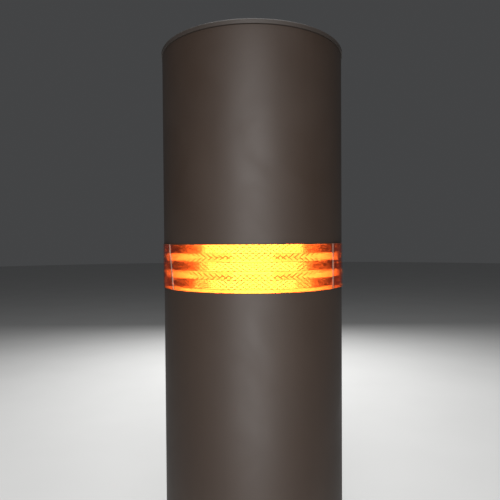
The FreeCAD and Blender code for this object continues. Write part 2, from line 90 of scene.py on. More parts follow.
class MARKER_PG_tape(PropertyGroup):
    """Sizes and colour of the prismatic tape."""

    prism_base: FloatProperty(
        name="Prism base", description="Long side of a prism's base triangle",
        default=1.05 * MM, min=0.8 * MM, max=3 * MM, unit="LENGTH", precision=5)
    prism_angle: FloatProperty(
        name="Prism angle", description="Angle between the base triangle's equal sides, which cants prisms",
        default=math.radians(66), min=math.radians(50), max=math.radians(75), subtype="ANGLE")
    web: FloatProperty(
        name="Web", description="Clear film in front of the prisms",
        default=0.21 * MM, min=0.05 * MM, max=0.4 * MM, unit="LENGTH", precision=5)
    stripe: FloatProperty(
        name="Stripe", description="Height of a stripe of prisms that all lie one way",
        default=9.3 * MM, min=3 * MM, max=30 * MM, unit="LENGTH", precision=5)
    land: FloatProperty(
        name="Land", description="Flat strip between two stripes",
        default=0.05 * MM, min=0.02 * MM, max=1 * MM, unit="LENGTH", precision=5)
    margin: FloatProperty(
        name="Margin", description="Flat strip along the tape's edges",
        default=0.15 * MM, min=0.1 * MM, max=2 * MM, unit="LENGTH", precision=5)
    seal_width: FloatProperty(
        name="Seal cell width", description="Width of a diamond of the seal's lattice",
        default=6.4 * MM, min=2 * MM, max=20 * MM, unit="LENGTH", precision=5)
    seal_height: FloatProperty(
        name="Seal cell height", description="Height of a diamond of the seal's lattice",
        default=4.6 * MM, min=2 * MM, max=20 * MM, unit="LENGTH", precision=5)
    seal_line: FloatProperty(
        name="Seal line", description="Width of the lattice's lines, where the prisms are pressed flat",
        default=0.30 * MM, min=0.1 * MM, max=1 * MM, unit="LENGTH", precision=5)
    colour: FloatVectorProperty(
        name="Dye", description="Tint of the light that has passed the dyed face twice",
        default=(1.0, 0.125, 0.013), size=3, min=0, max=1, subtype="COLOR")
    ior: FloatProperty(
        name="Index", description="Index of refraction of the film",
        default=1.53, min=1.3, max=1.8)


class MARKER_PG_finish(PropertyGroup):
    """Colours of the mouldings and the size of their rounded edges."""

    tube_colour: FloatVectorProperty(
        name="Tube", description="Pigment of the tube",
        default=(0.0255, 0.0155, 0.0104), size=3, min=0, max=1, subtype="COLOR")
    cap_colour: FloatVectorProperty(
        name="Cap", description="Pigment of the cap",
        default=(0.034, 0.027, 0.023), size=3, min=0, max=1, subtype="COLOR")
    base_colour: FloatVectorProperty(
        name="Base", description="Pigment of the socket",
        default=(0.040, 0.040, 0.042), size=3, min=0, max=1, subtype="COLOR")
    knob_colour: FloatVectorProperty(
        name="Knob", description="Pigment of the clamp knobs",
        default=(0.012, 0.012, 0.013), size=3, min=0, max=1, subtype="COLOR")
    moulded_edge: FloatProperty(
        name="Moulded edge", description="Rounding of moulded plastic edges",
        default=0.8 * MM, min=0.1 * MM, max=3 * MM, unit="LENGTH", precision=5)
    metal_edge: FloatProperty(
        name="Metal edge", description="Rounding of metal edges",
        default=0.25 * MM, min=0.05 * MM, max=1 * MM, unit="LENGTH", precision=5)
    thread_pitch: FloatProperty(
        name="Thread pitch", description="Pitch of the clamp screws",
        default=1.25 * MM, min=0.5 * MM, max=3 * MM, unit="LENGTH", precision=5)
    knob_steps: IntProperty(
        name="Knob steps", description="Corners round a knob's cage",
        default=72, min=36, max=144)


class MARKER_PG_stage(PropertyGroup):
    """Camera and lights."""

    distance: FloatProperty(
        name="Camera distance", description="From the camera to the tube's axis, in tube radii",
        default=5.5, min=2, max=50)
    eye_height: FloatProperty(
        name="Eye above band", description="Camera above the band's upper edge, in tube radii",
        default=0.045, min=-5, max=5)
    pitch: FloatProperty(
        name="Pitch", description="How far the camera looks down",
        default=math.radians(1.24), subtype="ANGLE")
    yaw: FloatProperty(
        name="Yaw", description="How far the camera looks past the tube, to its left",
        default=math.radians(0.335), subtype="ANGLE")
    roll: FloatProperty(
        name="Roll", description="How far the camera leans to its right",
        default=math.radians(0.37), subtype="ANGLE")
    lens: FloatProperty(
        name="Lens", description="Focal length on a 36 mm sensor",
        default=34.54, min=10, max=200)
    flash_radius: FloatProperty(
        name="Flash radius", description="Radius of the lamp round the lens",
        default=0.0065, min=0.002, max=0.3, unit="LENGTH")
    flash_power: FloatProperty(
        name="Flash", description="Power of the lamp round the lens, in watts",
        default=0.0125, min=0, max=50)
    front_power: FloatProperty(
        name="Front softboxes", description="Power of each softbox beside the camera, in watts",
        default=3.2, min=0, max=500)
    overhead_power: FloatProperty(
        name="Overhead softbox", description="Power of the softbox over the marker, in watts",
        default=40.0, min=0, max=500)
    rear_power: FloatProperty(
        name="Rear softbox", description="Power of the softbox behind the marker, in watts",
        default=45.0, min=0, max=500)
    ambient: FloatProperty(
        name="Ambient", description="Strength of the even light from all round",
        default=0.06, min=0, max=2)


# ---------------------------------------------------------------- pieces and meshes

def add_piece(name, mesh, material, body, slot, *nodes):
    """A finished piece at the origin that rides on a body, and stands for CAD nodes if any are named."""
    piece = bpy.data.objects.new(name, mesh)
    bpy.context.scene.collection.objects.link(piece)
    piece.data.materials.append(material)
    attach(piece, body)
    if nodes:
        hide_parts(*nodes)
    return piece


def paint_node(node, material):
    """Give a CAD node that stays in view its finish."""
    slots = frame["nodes"][node].data.materials
    slots.clear()
    slots.append(material)


def body_of(node):
    """The body that a CAD node belongs to."""
    bodies = frame["record"]["behaviour"]["bodies"]
    return next(body for body, nodes in bodies.items() if node in nodes)


def rounded_copy(node, name, width, material, slot):
    """A merged copy of a CAD node, with its corners rounded by a live Bevel."""
    shape = bmesh.new()
    shape.from_mesh(frame["nodes"][node].data)
    bmesh.ops.remove_doubles(shape, verts=shape.verts, dist=SAME_PLACE)
    bmesh.ops.dissolve_limit(
        shape, angle_limit=math.radians(0.5), verts=shape.verts, edges=shape.edges)
    mesh = bpy.data.meshes.new(name)
    shape.to_mesh(mesh)
    shape.free()
    custom = mesh.attributes.get("custom_normal")
    if custom is not None:
        mesh.attributes.remove(custom)
    mesh.shade_smooth()
    mesh.set_sharp_from_angle(angle=SHARP_CORNER)
    piece = add_piece(name, mesh, material, body_of(node), slot, node)
    bevel = piece.modifiers.new("rounded edges", "BEVEL")
    bevel.width = width
    bevel.segments = 2
    bevel.limit_method = "ANGLE"
    bevel.angle_limit = SHARP_CORNER
    bevel.harden_normals = True
    return piece


def rings_mesh(name, rings):
    """A closed mesh through rings of points, each ring the same length, shut at both ends."""
    count = len(rings[0])
    points = [point for ring in rings for point in ring]
    faces = []
    for level in range(len(rings) - 1):
        for step in range(count):
            following = (step + 1) % count
            low = level * count
            high = low + count
            faces.append((low + step, low + following, high + following, high + step))
    faces.append(tuple(reversed(range(count))))
    faces.append(tuple(range(len(points) - count, len(points))))
    mesh = bpy.data.meshes.new(name)
    mesh.from_pydata(points, [], faces)
    return mesh


# ---------------------------------------------------------------- prismatic film

def strip_shape(node, middle):
    """A strip's ends, steps and radii, measured on its CAD node, with angles from its middle."""
    low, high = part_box(node)
    spots = []
    for vertex in frame["nodes"][node].data.vertices:
        x, y, z = vertex.co
        angle = (math.atan2(y, x) - middle + math.pi) % (2 * math.pi) - math.pi
        spots.append((angle, math.hypot(x, y), z))
    inner = min(radius for _, radius, _ in spots)
    outer = max(radius for _, radius, _ in spots)
    bottom = [angle for angle, _, z in spots if z - low.z < NEAR]
    top = [angle for angle, _, z in spots if high.z - z < NEAR]
    return {
        "middle": middle, "spots": spots, "inner": inner, "outer": outer,
        "bottom": low.z, "top": high.z,
        "start": (min(bottom), min(top)), "end": (max(bottom), max(top)),
    }


def add_steps(shape, thickness):
    """Find where a strip steps up onto the strip below it, and how high."""
    front = shape["inner"] + thickness
    level = [angle for angle, radius, _ in shape["spots"] if abs(radius - front) < NEAR]
    raised = [angle for angle, radius, _ in shape["spots"] if shape["outer"] - radius < NEAR]
    shape["step"] = shape["outer"] - front
    shape["outer"] = front
    shape["ramps"] = []
    if shape["step"] > NEAR:
        shape["ramps"] = [
            (min(level), max(angle for angle in raised if angle < 0)),
            (max(level), min(angle for angle in raised if angle > 0)),
        ]


class FilmMesh:
    """The points and faces of one strip of prismatic film.

    A place is given by the way along the strip from its middle, at its outer radius, by the height
    over the ground and by the distance from the tube's axis where the strip lies on the tube.
    """

    def __init__(self, shape, tape):
        self.shape = shape
        self.tape = tape
        self.base = shape["outer"] - tape.web
        self.points = []
        self.spots = []
        self.grid = []
        self.faces = []
        self.dyed = []
        self.smooth = []

    def lift(self, angle):
        """How far the strip stands off the tube at an angle, over its steps."""
        height = 0.0
        for foot, crest in self.shape["ramps"]:
            height += min(1.0, max(0.0, (angle - foot) / (crest - foot)))
        return height * self.shape["step"]

    def point(self, along, height, radius, grid=False):
        """Add a point and return its number. Prisms stand only on grid points."""
        angle = along / self.shape["outer"]
        reach = radius + self.lift(angle)
        turn = self.shape["middle"] + angle
        self.points.append(Vector((reach * math.cos(turn), reach * math.sin(turn), height)))
        self.spots.append(Vector((along, height)))
        self.grid.append(grid)
        return len(self.points) - 1

    def limit(self, which, height):
        """Where the strip starts or ends at a height."""
        low, high = self.shape[which]
        share = (height - self.shape["bottom"]) / (self.shape["top"] - self.shape["bottom"])
        return (low + (high - low) * share) * self.shape["outer"]

    def bridge(self, low, high):
        """Triangles between two rows of (place, point), both in order."""
        triangles = []
        i = j = 0
        while i < len(low) - 1 or j < len(high) - 1:
            on_low = j == len(high) - 1 or (i < len(low) - 1 and low[i + 1][0] <= high[j + 1][0])
            if on_low:
                triangles.append((low[i][1], low[i + 1][1], high[j][1]))
                i += 1
            else:
                triangles.append((low[i][1], high[j + 1][1], high[j][1]))
                j += 1
        return triangles

    def pressed_flat(self, triangle):
        """True on the seal's lattice, where there are no prisms."""
        tape = self.tape
        centre = sum((self.spots[number] for number in triangle), Vector((0, 0))) / 3
        along = centre.x / tape.seal_width
        up = (centre.y - self.shape["bottom"]) / tape.seal_height
        gap = 1 / math.hypot(1 / tape.seal_width, 1 / tape.seal_height)
        rising = abs(along + up - round(along + up)) * gap
        falling = abs(along - up - round(along - up)) * gap
        return min(rising, falling) < tape.seal_line / 2

    def add_back(self, triangle, side=None):
        """One triangle of the film's back: a prism if it is a whole grid cell of that side, or flat."""
        a, b, c = triangle
        whole = side is not None and self.grid[a] and self.grid[b] and self.grid[c]
        if whole:
            edges = [(self.spots[p] - self.spots[q]).length for p, q in ((a, b), (b, c), (c, a))]
            whole = abs(max(edges) - side) < 0.02 * side
        if not whole or self.pressed_flat(triangle):
            self.add_faces([(c, b, a)])
            return
        apex = self.add_apex(a, b, c)
        self.add_faces([(b, a, apex), (c, b, apex), (a, c, apex)])

    def add_faces(self, triangles, dyed=False, smooth=False):
        """Add faces of one layer and one shading."""
        self.faces.extend(triangles)
        self.dyed.extend([dyed] * len(triangles))
        self.smooth.extend([smooth] * len(triangles))

    def add_apex(self, a, b, c):
        """The point from which all three corners of a base triangle are seen at right angles."""
        p, q, r = self.points[a], self.points[b], self.points[c]
        shares = [1 / (q - p).dot(r - p), 1 / (p - q).dot(r - q), 1 / (p - r).dot(q - r)]
        foot = (p * shares[0] + q * shares[1] + r * shares[2]) / sum(shares)
        outwards = (q - p).cross(r - p).normalized()
        self.points.append(foot - outwards / math.sqrt(sum(shares)))
        self.spots.append(Vector((0, 0)))
        self.grid.append(False)
        return len(self.points) - 1

    def edge_row(self, height, radius):
        """A row of evenly spaced points from the strip's start to its end."""
        start = self.limit("start", height)
        end = self.limit("end", height)
        first = math.ceil((start + EDGE_PACE / 4) / EDGE_PACE)
        last = math.floor((end - EDGE_PACE / 4) / EDGE_PACE)
        places = [start]
        for step in range(first, last + 1):
            places.append(step * EDGE_PACE)
        places.append(end)
        return [(place, self.point(place, height, radius)) for place in places]

    def ended_row(self, height, row):
        """A row of grid points with the strip's start and end added."""
        start = self.limit("start", height)
        end = self.limit("end", height)
        first = (start, self.point(start, height, self.base))
        last = (end, self.point(end, height, self.base))
        return [first, *row, last]

    def lying_stripe(self, low, high):
        """A stripe whose prisms' long sides lie along the tape. Returns its rows, from the bottom."""
        pitch_share = 0.5 / math.tan(self.tape.prism_angle / 2)
        count = round((high - low) / (self.tape.prism_base * pitch_share))
        pitch = (high - low) / count
        side = pitch / pitch_share
        rows = []
        for number in range(count + 1):
            height = low + number * pitch
            shift = 0.5 * (number % 2)
            first = math.ceil((self.limit("start", height) + side / 4) / side - shift)
            last = math.floor((self.limit("end", height) - side / 4) / side - shift)
            places = [(step + shift) * side for step in range(first, last + 1)]
            row = [(place, self.point(place, height, self.base, grid=True)) for place in places]
            rows.append(self.ended_row(height, row))
        for below, above in zip(rows, rows[1:]):
            for triangle in self.bridge(below, above):
                self.add_back(triangle, side)
        return rows

    def standing_stripe(self, low, high):
        """A stripe whose prisms' long sides stand across the tape. Returns its lower and upper row."""
        count = round((high - low) / self.tape.prism_base)
        side = (high - low) / count
        pitch = side * 0.5 / math.tan(self.tape.prism_angle / 2)
        start = max(self.limit("start", low), self.limit("start", high)) + side / 4
        end = min(self.limit("end", low), self.limit("end", high)) - side / 4
        first = 2 * math.ceil(start / pitch / 2)
        last = 2 * math.floor(end / pitch / 2)
        columns = []
        for number in range(first, last + 1):
            shift = 0.5 * (number % 2)
            heights = [low + (step + shift) * side for step in range(count + 1 - number % 2)]
            place = number * pitch
            columns.append([(height, self.point(place, height, self.base, grid=True)) for height in heights])
        whole = columns[::2]
        lower = self.ended_row(low, [(self.spots[column[0][1]].x, column[0][1]) for column in whole])
        upper = self.ended_row(high, [(self.spots[column[-1][1]].x, column[-1][1]) for column in whole])
        ends = [[(low, lower[side_end][1]), (high, upper[side_end][1])] for side_end in (0, -1)]
        for left, right in zip([ends[0], *columns], [*columns, ends[1]]):
            for a, b, c in self.bridge(left, right):
                self.add_back((b, a, c), side)
        for left, middle, right in zip(columns[::2], columns[1::2], columns[2::2]):
            self.add_back((left[0][1], right[0][1], middle[0][1]))
            self.add_back((left[-1][1], middle[-1][1], right[-1][1]))
        return [lower, upper]

    def stripe_heights(self):
        """The lower and upper height of each stripe, from the tape's lower edge, and whether it stands."""
        shape = self.shape
        tape = self.tape
        count = math.ceil((shape["top"] - shape["bottom"]) / tape.stripe - 0.1)
        stripes = []
        for number in reversed(range(count)):
            high = shape["top"] - number * tape.stripe - tape.land / 2
            low = high - tape.stripe + tape.land
            high = min(high, shape["top"] - tape.margin)
            low = max(low, shape["bottom"] + tape.margin)
            stripes.append((low, high, number % 2 == 1))
        return stripes

    def add_back_side(self):
        """The film's back: its edges, its stripes of prisms and the lands between them."""
        rows = [self.edge_row(self.shape["bottom"], self.base)]
        sides = [rows[0]]
        for low, high, stands in self.stripe_heights():
            stripe = self.standing_stripe(low, high) if stands else self.lying_stripe(low, high)
            for triangle in self.bridge(rows[-1], stripe[0]):
                self.add_back(triangle)
            rows.append(stripe[-1])
            sides.extend(stripe)
        rows.append(self.edge_row(self.shape["top"], self.base))
        sides.append(rows[-1])
        for triangle in self.bridge(rows[-2], rows[-1]):
            self.add_back(triangle)
        return sides

    def add_front_side(self):
        """The film's smooth face."""
        height = (self.shape["top"] - self.shape["bottom"]) / FACE_ROWS
        rows = [
            self.edge_row(self.shape["bottom"] + number * height, self.shape["outer"])
            for number in range(FACE_ROWS + 1)
        ]
        for below, above in zip(rows, rows[1:]):
            self.add_faces(self.bridge(below, above), dyed=True, smooth=True)
        return rows

    def build(self, name):
        """The closed film as a mesh."""
        back = self.add_back_side()
        front = self.add_front_side()
        self.add_faces(self.bridge(back[0], front[0]), dyed=True)
        self.add_faces(self.bridge(front[-1], back[-1]), dyed=True)
        for end, outer, inner in ((0, front, back), (-1, back, front)):
            columns = [[(self.spots[row[end][1]].y, row[end][1]) for row in rows] for rows in (outer, inner)]
            self.add_faces(self.bridge(*columns), dyed=True)
        mesh = bpy.data.meshes.new(name)
        mesh.from_pydata(self.points, [], self.faces)
        mesh.polygons.foreach_set("use_smooth", self.smooth)
        mesh.polygons.foreach_set("material_index", [0 if dyed else 1 for dyed in self.dyed])
        mesh.set_sharp_from_angle(angle=FILM_CORNER)
        return mesh


# ---------------------------------------------------------------- materials

def new_material(name):
    """An empty node material and its tree."""
    material = bpy.data.materials.new(name)
    material.use_nodes = True
    tree = material.node_tree
    tree.nodes.clear()
    return material, tree


def arrange(tree, groups):
    """Lay the nodes out in columns, one labelled frame for each effect."""
    left = -1200
    width = 190
    for title, nodes in groups:
        box = tree.nodes.new("NodeFrame")
        box.label = title
        for number, node in enumerate(nodes):
            node.parent = box
            node.location = (left + width * number, -60)
        left += width * len(nodes) + 60


def plastic_finish(name, pigment, gloss, clouds, lines, grain, dust):
    """Moulded or extruded plastic: clouded pigment, lines along the tube, fine grain and road dust."""
    material, tree = new_material(name)
    nodes = tree.nodes
    links = tree.links

    place = nodes.new("ShaderNodeTexCoord")
    place.label = "Place on the part"
    cloud = nodes.new("ShaderNodeTexNoise")
    cloud.label = "Clouds in the pigment"
    cloud.inputs["Scale"].default_value = 9.0
    cloud.inputs["Detail"].default_value = 5.0
    cloud.inputs["Roughness"].default_value = 0.62
    shades = nodes.new("ShaderNodeValToRGB")
    shades.label = "Darkest and lightest pigment"
    shades.color_ramp.elements[0].position = 0.30
    shades.color_ramp.elements[0].color = (*[c * (1 - clouds) for c in pigment], 1)
    shades.color_ramp.elements[1].position = 0.72
    shades.color_ramp.elements[1].color = (*[c * (1 + clouds) for c in pigment], 1)

    stretch = nodes.new("ShaderNodeMapping")
    stretch.label = "Stretch along the tube"
    stretch.inputs["Scale"].default_value = (150.0, 150.0, 2.2)
    line = nodes.new("ShaderNodeTexNoise")
    line.label = "Drawn lines"
    line.inputs["Scale"].default_value = 1.0
    line.inputs["Detail"].default_value = 3.0
    line_range = nodes.new("ShaderNodeMapRange")
    line_range.label = "How dark the lines are"
    line_range.inputs["From Min"].default_value = 0.25
    line_range.inputs["From Max"].default_value = 0.75
    line_range.inputs["To Min"].default_value = 1.0 - lines
    line_range.inputs["To Max"].default_value = 1.0 + lines
    lined = nodes.new("ShaderNodeVectorMath")
    lined.label = "Pigment with lines"
    lined.operation = "SCALE"

    height = nodes.new("ShaderNodeSeparateXYZ")
    height.label = "Height over the ground"
    low_down = nodes.new("ShaderNodeMapRange")
    low_down.label = "Dust thins out upwards"
    low_down.inputs["From Min"].default_value = 0.0
    low_down.inputs["From Max"].default_value = 0.42
    low_down.inputs["To Min"].default_value = dust
    low_down.inputs["To Max"].default_value = 0.0
    blotch = nodes.new("ShaderNodeTexNoise")
    blotch.label = "Dust blotches"
    blotch.inputs["Scale"].default_value = 34.0
    blotch.inputs["Detail"].default_value = 8.0
    blotch.inputs["Roughness"].default_value = 0.7
    blotch_range = nodes.new("ShaderNodeMapRange")
    blotch_range.label = "Where dust holds"
    blotch_range.inputs["From Min"].default_value = 0.38
    blotch_range.inputs["From Max"].default_value = 0.68
    dusty = nodes.new("ShaderNodeMath")
    dusty.label = "Amount of dust"
    dusty.operation = "MULTIPLY"
    colour = nodes.new("ShaderNodeMix")
    colour.label = "Dust over pigment"
    colour.data_type = "RGBA"
    colour.inputs["B"].default_value = (0.19, 0.165, 0.135, 1)

    smear = nodes.new("ShaderNodeTexNoise")
    smear.label = "Handling marks"
    smear.inputs["Scale"].default_value = 14.0
    smear.inputs["Detail"].default_value = 6.0
    smear.inputs["Distortion"].default_value = 0.6
    rough = nodes.new("ShaderNodeMapRange")
    rough.label = "Satin range"
    rough.inputs["From Min"].default_value = 0.3
    rough.inputs["From Max"].default_value = 0.7
    rough.inputs["To Min"].default_value = gloss - 0.05
    rough.inputs["To Max"].default_value = gloss + 0.06
    rougher = nodes.new("ShaderNodeMath")
    rougher.label = "Dust is matt"
    rougher.operation = "MULTIPLY_ADD"
    rougher.inputs[1].default_value = 0.5
    rougher.use_clamp = True

    stipple = nodes.new("ShaderNodeTexVoronoi")
    stipple.label = "Mould grain"
    stipple.inputs["Scale"].default_value = 900.0
    relief = nodes.new("ShaderNodeBump")
    relief.label = "Grain relief"
    relief.inputs["Strength"].default_value = grain
    relief.inputs["Distance"].default_value = 0.08 * MM
    wave = nodes.new("ShaderNodeBump")
    wave.label = "Line relief"
    wave.inputs["Strength"].default_value = min(1.0, 4 * lines)
    wave.inputs["Distance"].default_value = 0.03 * MM

    shader = nodes.new("ShaderNodeBsdfPrincipled")
    shader.label = "Plastic"
    shader.inputs["Specular IOR Level"].default_value = 0.42
    output = nodes.new("ShaderNodeOutputMaterial")
    output.label = "Finish"

    links.new(place.outputs["Object"], cloud.inputs["Vector"])
    links.new(cloud.outputs["Fac"], shades.inputs["Fac"])
    links.new(place.outputs["Object"], stretch.inputs["Vector"])
    links.new(stretch.outputs["Vector"], line.inputs["Vector"])
    links.new(line.outputs["Fac"], line_range.inputs["Value"])
    links.new(shades.outputs["Color"], lined.inputs["Vector"])
    links.new(line_range.outputs["Result"], lined.inputs["Scale"])
    links.new(place.outputs["Object"], height.inputs["Vector"])
    links.new(height.outputs["Z"], low_down.inputs["Value"])
    links.new(place.outputs["Object"], blotch.inputs["Vector"])
    links.new(blotch.outputs["Fac"], blotch_range.inputs["Value"])
    links.new(low_down.outputs["Result"], dusty.inputs[0])
    links.new(blotch_range.outputs["Result"], dusty.inputs[1])
    links.new(dusty.outputs["Value"], colour.inputs["Factor"])
    links.new(lined.outputs["Vector"], colour.inputs["A"])
    links.new(colour.outputs["Result"], shader.inputs["Base Color"])
    links.new(place.outputs["Object"], smear.inputs["Vector"])
    links.new(smear.outputs["Fac"], rough.inputs["Value"])
    links.new(dusty.outputs["Value"], rougher.inputs[0])
    links.new(rough.outputs["Result"], rougher.inputs[2])
    links.new(rougher.outputs["Value"], shader.inputs["Roughness"])
    links.new(place.outputs["Object"], stipple.inputs["Vector"])
    links.new(stipple.outputs["Distance"], relief.inputs["Height"])
    links.new(line.outputs["Fac"], wave.inputs["Height"])
    links.new(relief.outputs["Normal"], wave.inputs["Normal"])
    links.new(wave.outputs["Normal"], shader.inputs["Normal"])
    links.new(shader.outputs["BSDF"], output.inputs["Surface"])
    arrange(tree, [
        ("Place", [place]),
        ("Pigment", [cloud, shades]),
        ("Drawn lines", [stretch, line, line_range, lined]),
        ("Road dust", [height, low_down, blotch, blotch_range, dusty, colour]),
        ("Gloss", [smear, rough, rougher]),
        ("Relief", [stipple, relief, wave]),
        ("Surface", [shader, output]),
    ])
    return material


def rubber_finish(name):
    """Matt moulded rubber with a bloom of dust."""
    material, tree = new_material(name)
    nodes = tree.nodes
    links = tree.links
    place = nodes.new("ShaderNodeTexCoord")
    place.label = "Place on the part"
    bloom = nodes.new("ShaderNodeTexNoise")
    bloom.label = "Bloom"
    bloom.inputs["Scale"].default_value = 22.0
    bloom.inputs["Detail"].default_value = 7.0
    shades = nodes.new("ShaderNodeValToRGB")
    shades.label = "Clean and dusty rubber"
    shades.color_ramp.elements[0].position = 0.35
    shades.color_ramp.elements[0].color = (0.012, 0.012, 0.013, 1)
    shades.color_ramp.elements[1].position = 0.75
    shades.color_ramp.elements[1].color = (0.045, 0.042, 0.038, 1)
    rough = nodes.new("ShaderNodeMapRange")
    rough.label = "Matt range"
    rough.inputs["To Min"].default_value = 0.68
    rough.inputs["To Max"].default_value = 0.92
    pores = nodes.new("ShaderNodeTexNoise")
    pores.label = "Pores"
    pores.inputs["Scale"].default_value = 700.0
    relief = nodes.new("ShaderNodeBump")
    relief.label = "Pore relief"
    relief.inputs["Strength"].default_value = 0.35
    relief.inputs["Distance"].default_value = 0.1 * MM
    shader = nodes.new("ShaderNodeBsdfPrincipled")
    shader.label = "Rubber"
    output = nodes.new("ShaderNodeOutputMaterial")
    output.label = "Finish"
    links.new(place.outputs["Object"], bloom.inputs["Vector"])
    links.new(bloom.outputs["Fac"], shades.inputs["Fac"])
    links.new(shades.outputs["Color"], shader.inputs["Base Color"])
    links.new(bloom.outputs["Fac"], rough.inputs["Value"])
    links.new(rough.outputs["Result"], shader.inputs["Roughness"])
    links.new(place.outputs["Object"], pores.inputs["Vector"])
    links.new(pores.outputs["Fac"], relief.inputs["Height"])
    links.new(relief.outputs["Normal"], shader.inputs["Normal"])
    links.new(shader.outputs["BSDF"], output.inputs["Surface"])
    arrange(tree, [
        ("Place", [place]),
        ("Bloom", [bloom, shades, rough]),
        ("Relief", [pores, relief]),
        ("Surface", [shader, output]),
    ])
    return material


def metal_finish(name, bright, dull, gloss):
    """Plated or turned metal with tarnish and fine turning marks."""
    material, tree = new_material(name)
    nodes = tree.nodes
    links = tree.links
    place = nodes.new("ShaderNodeTexCoord")
    place.label = "Place on the part"
    tarnish = nodes.new("ShaderNodeTexNoise")
    tarnish.label = "Tarnish"
    tarnish.inputs["Scale"].default_value = 160.0
    tarnish.inputs["Detail"].default_value = 6.0
    shades = nodes.new("ShaderNodeValToRGB")
    shades.label = "Dull and bright metal"
    shades.color_ramp.elements[0].position = 0.35
    shades.color_ramp.elements[0].color = (*dull, 1)
    shades.color_ramp.elements[1].position = 0.6
    shades.color_ramp.elements[1].color = (*bright, 1)
    rough = nodes.new("ShaderNodeMapRange")
    rough.label = "Gloss range"
    rough.inputs["To Min"].default_value = gloss + 0.15
    rough.inputs["To Max"].default_value = gloss - 0.05
    marks = nodes.new("ShaderNodeTexNoise")
    marks.label = "Turning marks"
    marks.inputs["Scale"].default_value = 1500.0
    relief = nodes.new("ShaderNodeBump")
    relief.label = "Mark relief"
    relief.inputs["Strength"].default_value = 0.2
    relief.inputs["Distance"].default_value = 0.02 * MM
    shader = nodes.new("ShaderNodeBsdfPrincipled")
    shader.label = "Metal"
    shader.inputs["Metallic"].default_value = 1.0
    output = nodes.new("ShaderNodeOutputMaterial")
    output.label = "Finish"
    links.new(place.outputs["Object"], tarnish.inputs["Vector"])
    links.new(tarnish.outputs["Fac"], shades.inputs["Fac"])
    links.new(shades.outputs["Color"], shader.inputs["Base Color"])
    links.new(tarnish.outputs["Fac"], rough.inputs["Value"])
    links.new(rough.outputs["Result"], shader.inputs["Roughness"])
    links.new(place.outputs["Object"], marks.inputs["Vector"])
    links.new(marks.outputs["Fac"], relief.inputs["Height"])
    links.new(relief.outputs["Normal"], shader.inputs["Normal"])
    links.new(shader.outputs["BSDF"], output.inputs["Surface"])
    arrange(tree, [
        ("Place", [place]),
        ("Tarnish", [tarnish, shades, rough]),
        ("Relief", [marks, relief]),
        ("Surface", [shader, output]),
    ])
    return material


def film_finish(name, colour, ior):
    """One layer of the film. The pattern is all in the prisms, so the shader is plain glass."""
    material, tree = new_material(name)
    shader = tree.nodes.new("ShaderNodeBsdfPrincipled")
    shader.label = "Clear or dyed film"
    shader.inputs["Base Color"].default_value = (*colour, 1)
    shader.inputs["Roughness"].default_value = 0.0
    shader.inputs["IOR"].default_value = ior
    shader.inputs["Transmission Weight"].default_value = 1.0
    output = tree.nodes.new("ShaderNodeOutputMaterial")
    output.label = "Finish"
    tree.links.new(shader.outputs["BSDF"], output.inputs["Surface"])
    arrange(tree, [("Surface", [shader, output])])
    return material


def layer_finish(name, clean, stained, gloss):
    """A thin pale layer of the tape, a little uneven in shade."""
    material, tree = new_material(name)
    nodes = tree.nodes
    links = tree.links
    place = nodes.new("ShaderNodeTexCoord")
    place.label = "Place on the part"
    stain = nodes.new("ShaderNodeTexNoise")
    stain.label = "Unevenness"
    stain.inputs["Scale"].default_value = 55.0
    stain.inputs["Detail"].default_value = 5.0
    shades = nodes.new("ShaderNodeValToRGB")
    shades.label = "Clean and stained layer"
    shades.color_ramp.elements[0].position = 0.35
    shades.color_ramp.elements[0].color = (*stained, 1)
    shades.color_ramp.elements[1].position = 0.65
    shades.color_ramp.elements[1].color = (*clean, 1)
    rough = nodes.new("ShaderNodeMapRange")
    rough.label = "Gloss range"
    rough.inputs["To Min"].default_value = gloss + 0.08
    rough.inputs["To Max"].default_value = gloss - 0.08
    shader = nodes.new("ShaderNodeBsdfPrincipled")
    shader.label = "Layer"
    output = nodes.new("ShaderNodeOutputMaterial")
    output.label = "Finish"
    links.new(place.outputs["Object"], stain.inputs["Vector"])
    links.new(stain.outputs["Fac"], shades.inputs["Fac"])
    links.new(shades.outputs["Color"], shader.inputs["Base Color"])
    links.new(stain.outputs["Fac"], rough.inputs["Value"])
    links.new(rough.outputs["Result"], shader.inputs["Roughness"])
    links.new(shader.outputs["BSDF"], output.inputs["Surface"])
    arrange(tree, [
        ("Place", [place]),
        ("Unevenness", [stain, shades, rough]),
        ("Surface", [shader, output]),
    ])
    return material


# ---------------------------------------------------------------- operators

class MARKER_OT_tape(Operator):
    """Make both strips of prismatic film and finish the layers under them"""

    bl_idname = "marker.tape"
    bl_label = "Prismatic tape"

    def execute(self, context):
        tape = context.scene.marker_tape
        face = film_finish("dyed_face", tape.colour, tape.ior)
        prisms = film_finish("clear_prisms", PRISM_TINT, tape.ior)
        front = strip_shape("front_band_film", FRONT)
        rear = strip_shape("rear_band_film", BACK)
        thickness = front["outer"] - front["inner"]
        for name, shape in (("front", front), ("rear", rear)):
            add_steps(shape, thickness)
            mesh = FilmMesh(shape, tape).build(f"{name}_tape_film")
            node = f"{name}_band_film"
            film = add_piece(f"{name}_tape_film", mesh, face, body_of(node), "tape_film", node)
            film.data.materials.append(prisms)
        backing = layer_finish("seal_film", (0.46, 0.43, 0.39), (0.37, 0.34, 0.30), 0.45)
        adhesive = layer_finish("tape_adhesive", (0.26, 0.20, 0.11), (0.14, 0.10, 0.06), 0.5)
        for name in ("front", "rear"):
            paint_node(f"{name}_band_backing", backing)
            paint_node(f"{name}_band_adhesive", adhesive)
        return {"FINISHED"}


